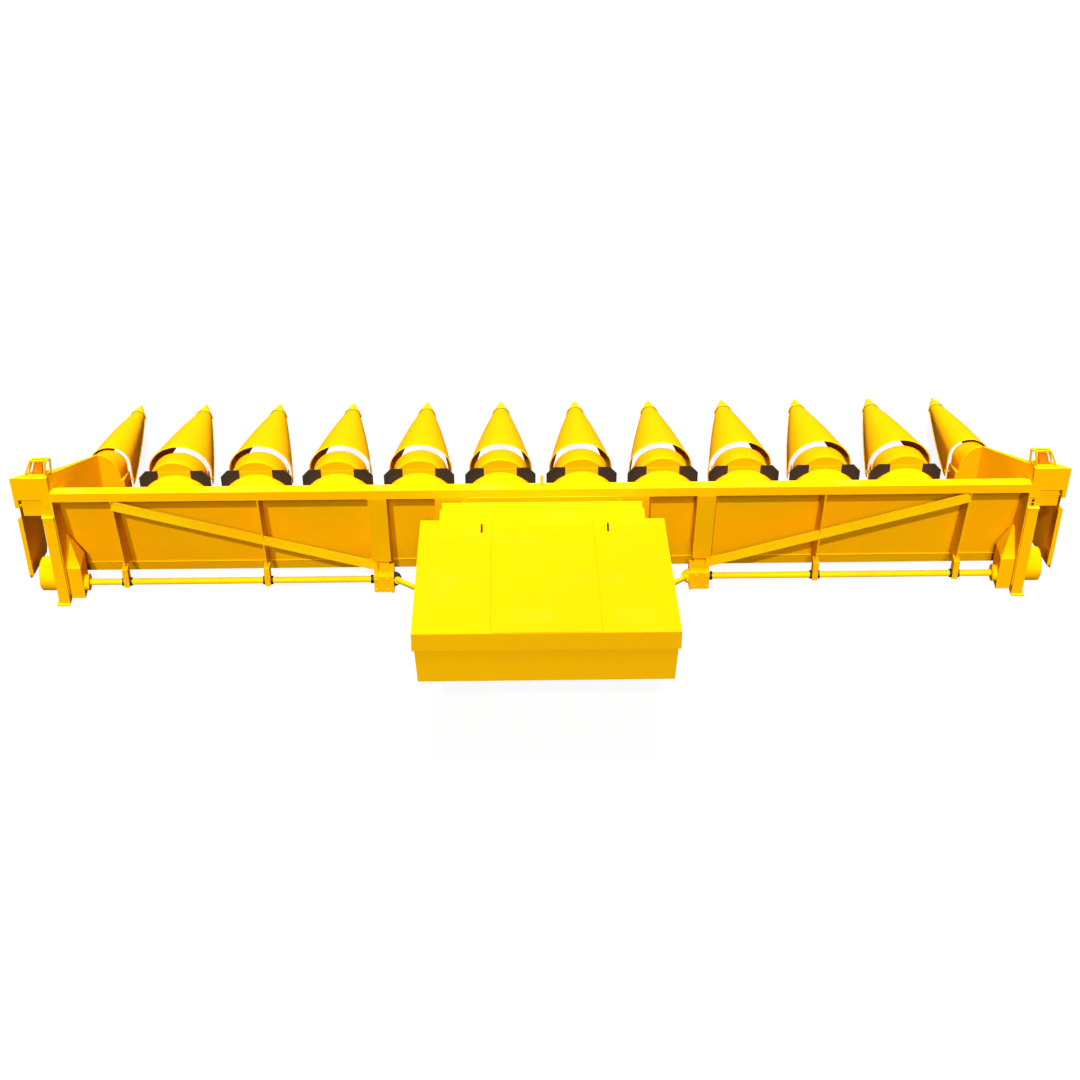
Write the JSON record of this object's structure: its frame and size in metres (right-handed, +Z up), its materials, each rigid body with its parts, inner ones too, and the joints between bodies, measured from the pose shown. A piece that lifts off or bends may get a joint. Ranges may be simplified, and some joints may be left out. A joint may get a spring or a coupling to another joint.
{
  "type": "maize header",
  "caption": "Wide maize harvesting header with pointed row dividers, cross auger, end drives, parking posts and a central crop housing.",
  "frame": {"origin": "on the floor under the middle of the whole machine's box", "axes": "+X to the machine's right as seen from its rear, +Y forwards towards the divider tips, +Z up"},
  "size_m": [9.414, 4.871, 1.65],
  "materials": {
    "yellow_paint": "satin enamel, sun-bleached a little on top",
    "yellow_hood": "smooth moulded yellow, fine scratches towards the tips",
    "black_rubber": "matt black, dusty",
    "dark_iron": "black-painted castings",
    "dark_steel": "bare worn steel with rust in the corners",
    "worn_steel": "steel polished by the crop",
    "frame_steel": "yellow enamel, chipped along its edges",
    "gearbox_iron": "yellow paint over cast iron",
    "orange_lens": "clear orange lens"
  },
  "bodies": {
    "frame": {"top_beam": "yellow_paint", "back_sheet": "yellow_paint", "uprights": "yellow_paint", "diagonal_braces": "yellow_paint", "shaft_ribs": "yellow_paint", "toolbar": "frame_steel", "auger_trough": "yellow_paint", "end_walls": "yellow_paint", "parking_posts": "yellow_paint", "end_boxes": "yellow_paint", "lamp_guards": "yellow_paint", "lamps": "orange_lens", "end_panels": "yellow_paint", "drive_covers": "yellow_paint", "chain_cases": "yellow_paint", "end_shields": "yellow_paint", "end_hoods": "yellow_paint", "row_hoods": "yellow_paint", "ear_flaps": "black_rubber", "row_frames": "frame_steel", "deck_plates": "worn_steel", "gathering_chains": "dark_steel", "stalk_rolls": "dark_steel", "skid_shoes": "worn_steel", "feeder_frame": "yellow_paint", "throat_duct": "yellow_paint", "housing_body": "yellow_paint", "housing_cover": "yellow_paint", "gearboxes": "gearbox_iron", "shaft_bearings": "dark_iron"},
    "snout_01": {"snout_01": "yellow_hood"},
    "snout_02": {"snout_02": "yellow_hood"},
    "snout_03": {"snout_03": "yellow_hood"},
    "snout_04": {"snout_04": "yellow_hood"},
    "snout_05": {"snout_05": "yellow_hood"},
    "snout_06": {"snout_06": "yellow_hood"},
    "snout_07": {"snout_07": "yellow_hood"},
    "snout_08": {"snout_08": "yellow_hood"},
    "snout_09": {"snout_09": "yellow_hood"},
    "snout_10": {"snout_10": "yellow_hood"},
    "snout_11": {"snout_11": "yellow_hood"},
    "snout_12": {"snout_12": "yellow_hood"},
    "auger": {"auger": "yellow_paint"},
    "left_cross_shaft": {"left_cross_shaft": "yellow_paint"},
    "right_cross_shaft": {"right_cross_shaft": "yellow_paint"},
    "left_input_shaft": {"left_input_shaft": "yellow_paint"},
    "right_input_shaft": {"right_input_shaft": "yellow_paint"},
    "hatch": {"housing_hatch": "yellow_paint"}
  },
  "joints": [
    {"name": "snout_01_lift", "type": "hinge", "parent": "frame", "child": "snout_01", "pos_m": [-4.039, 0.6995, 0.725], "axis": [1, 0, 0], "range_deg": [0, 5]},
    {"name": "snout_02_lift", "type": "hinge", "parent": "frame", "child": "snout_02", "pos_m": [-3.375, 0.6995, 0.725], "axis": [1, 0, 0], "range_deg": [0, 12]},
    {"name": "snout_03_lift", "type": "hinge", "parent": "frame", "child": "snout_03", "pos_m": [-2.625, 0.6995, 0.725], "axis": [1, 0, 0], "range_deg": [0, 12]},
    {"name": "snout_04_lift", "type": "hinge", "parent": "frame", "child": "snout_04", "pos_m": [-1.875, 0.6995, 0.725], "axis": [1, 0, 0], "range_deg": [0, 12]},
    {"name": "snout_05_lift", "type": "hinge", "parent": "frame", "child": "snout_05", "pos_m": [-1.125, 0.6995, 0.725], "axis": [1, 0, 0], "range_deg": [0, 12]},
    {"name": "snout_06_lift", "type": "hinge", "parent": "frame", "child": "snout_06", "pos_m": [-0.375, 0.6995, 0.725], "axis": [1, 0, 0], "range_deg": [0, 12]},
    {"name": "snout_07_lift", "type": "hinge", "parent": "frame", "child": "snout_07", "pos_m": [0.375, 0.6995, 0.725], "axis": [1, 0, 0], "range_deg": [0, 12]},
    {"name": "snout_08_lift", "type": "hinge", "parent": "frame", "child": "snout_08", "pos_m": [1.125, 0.6995, 0.725], "axis": [1, 0, 0], "range_deg": [0, 12]},
    {"name": "snout_09_lift", "type": "hinge", "parent": "frame", "child": "snout_09", "pos_m": [1.875, 0.6995, 0.725], "axis": [1, 0, 0], "range_deg": [0, 12]},
    {"name": "snout_10_lift", "type": "hinge", "parent": "frame", "child": "snout_10", "pos_m": [2.625, 0.6995, 0.725], "axis": [1, 0, 0], "range_deg": [0, 12]},
    {"name": "snout_11_lift", "type": "hinge", "parent": "frame", "child": "snout_11", "pos_m": [3.375, 0.6995, 0.725], "axis": [1, 0, 0], "range_deg": [0, 12]},
    {"name": "snout_12_lift", "type": "hinge", "parent": "frame", "child": "snout_12", "pos_m": [4.039, 0.6995, 0.725], "axis": [1, 0, 0], "range_deg": [0, 5]},
    {"name": "auger_turn", "type": "hinge", "parent": "frame", "child": "auger", "pos_m": [0, 0.3145, 0.54], "axis": [1, 0, 0], "continuous": true},
    {"name": "left_cross_shaft_turn", "type": "hinge", "parent": "frame", "child": "left_cross_shaft", "pos_m": [-2.8, -0.1105, 0.154], "axis": [1, 0, 0], "continuous": true},
    {"name": "left_input_shaft_turn", "type": "hinge", "parent": "frame", "child": "left_input_shaft", "pos_m": [-1.373, -0.1105, 0.154], "axis": [0.3872, -0.7785, 0.4941], "continuous": true},
    {"name": "right_cross_shaft_turn", "type": "hinge", "parent": "frame", "child": "right_cross_shaft", "pos_m": [2.8, -0.1105, 0.154], "axis": [1, 0, 0], "continuous": true},
    {"name": "right_input_shaft_turn", "type": "hinge", "parent": "frame", "child": "right_input_shaft", "pos_m": [1.373, -0.1105, 0.154], "axis": [-0.3872, -0.7785, 0.4941], "continuous": true},
    {"name": "hatch_lift", "type": "hinge", "parent": "frame", "child": "hatch", "pos_m": [0, -0.3975, 1.09238], "axis": [-1, 0, 0], "range_deg": [0, 60]}
  ]
}
